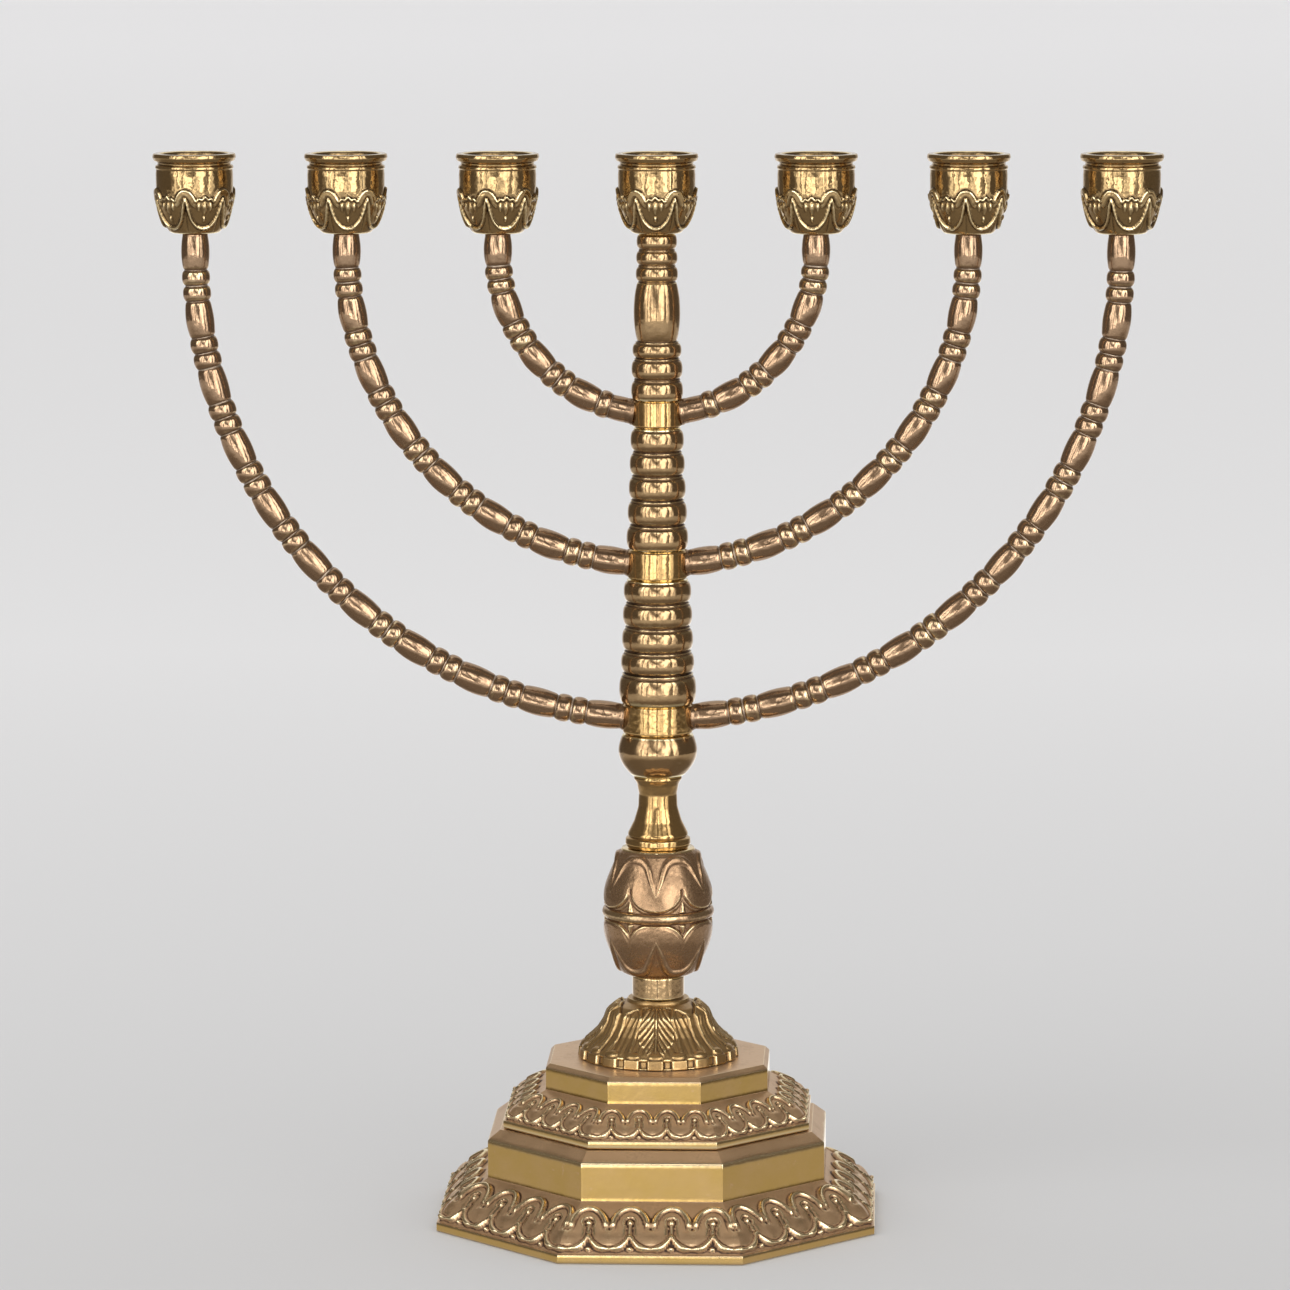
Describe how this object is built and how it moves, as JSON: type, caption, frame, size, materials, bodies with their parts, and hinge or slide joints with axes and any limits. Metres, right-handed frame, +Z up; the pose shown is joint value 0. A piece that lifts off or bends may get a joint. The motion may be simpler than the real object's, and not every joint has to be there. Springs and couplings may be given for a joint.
{
  "type": "menorah",
  "caption": "Tabletop brass candelabrum on an octagonal stepped foot: curved beaded arms carry candle cups in one row, level with the cup on top of the stem.",
  "frame": {"origin": "on the floor under the middle of the octagonal foot, on the stem axis", "axes": "+Z up the stem; the arms spread along +X and -X; the front of the base faces -Y, and its depth along Y is the shortest side"},
  "size_m": [0.3346, 0.1464, 0.3581],
  "materials": {
    "polished_brass": "turned and polished brass, slightly aged, with fine turning lines",
    "aged_brass": "cast brass with brown patina in the recesses and edges polished bright",
    "zinc_steel": "zinc-plated steel, dull"
  },
  "bodies": {
    "stem": {"base_lower_casting": "aged_brass", "base_upper_casting": "aged_brass", "acanthus_dome": "aged_brass", "neck_sleeve": "polished_brass", "egg_knop": "aged_brass", "vase_neck": "aged_brass", "stem_ball": "aged_brass", "lower_spacer": "aged_brass", "middle_spacer": "aged_brass", "upper_spacer": "aged_brass", "centre_cup": "polished_brass", "tie_rod": "zinc_steel", "top_nut": "zinc_steel", "base_washer": "zinc_steel", "base_nut": "zinc_steel"},
    "lower_tier": {"lower_hub": "polished_brass", "lower_arm_left": "aged_brass", "lower_cup_left": "polished_brass", "lower_cup_screw_left": "zinc_steel", "lower_arm_right": "aged_brass", "lower_cup_right": "polished_brass", "lower_cup_screw_right": "zinc_steel"},
    "middle_tier": {"middle_hub": "polished_brass", "middle_arm_left": "aged_brass", "middle_cup_left": "polished_brass", "middle_cup_screw_left": "zinc_steel", "middle_arm_right": "aged_brass", "middle_cup_right": "polished_brass", "middle_cup_screw_right": "zinc_steel"},
    "upper_tier": {"upper_hub": "polished_brass", "upper_arm_left": "aged_brass", "upper_cup_left": "polished_brass", "upper_cup_screw_left": "zinc_steel", "upper_arm_right": "aged_brass", "upper_cup_right": "polished_brass", "upper_cup_screw_right": "zinc_steel"}
  },
  "joints": [
    {"name": "lower_tier_swivel", "type": "hinge", "parent": "stem", "child": "lower_tier", "pos_m": [0, 0, 0.16935], "axis": [0, 0, 1], "continuous": true},
    {"name": "middle_tier_swivel", "type": "hinge", "parent": "stem", "child": "middle_tier", "pos_m": [0, 0, 0.2213], "axis": [0, 0, 1], "continuous": true},
    {"name": "upper_tier_swivel", "type": "hinge", "parent": "stem", "child": "upper_tier", "pos_m": [0, 0, 0.2718], "axis": [0, 0, 1], "continuous": true}
  ]
}
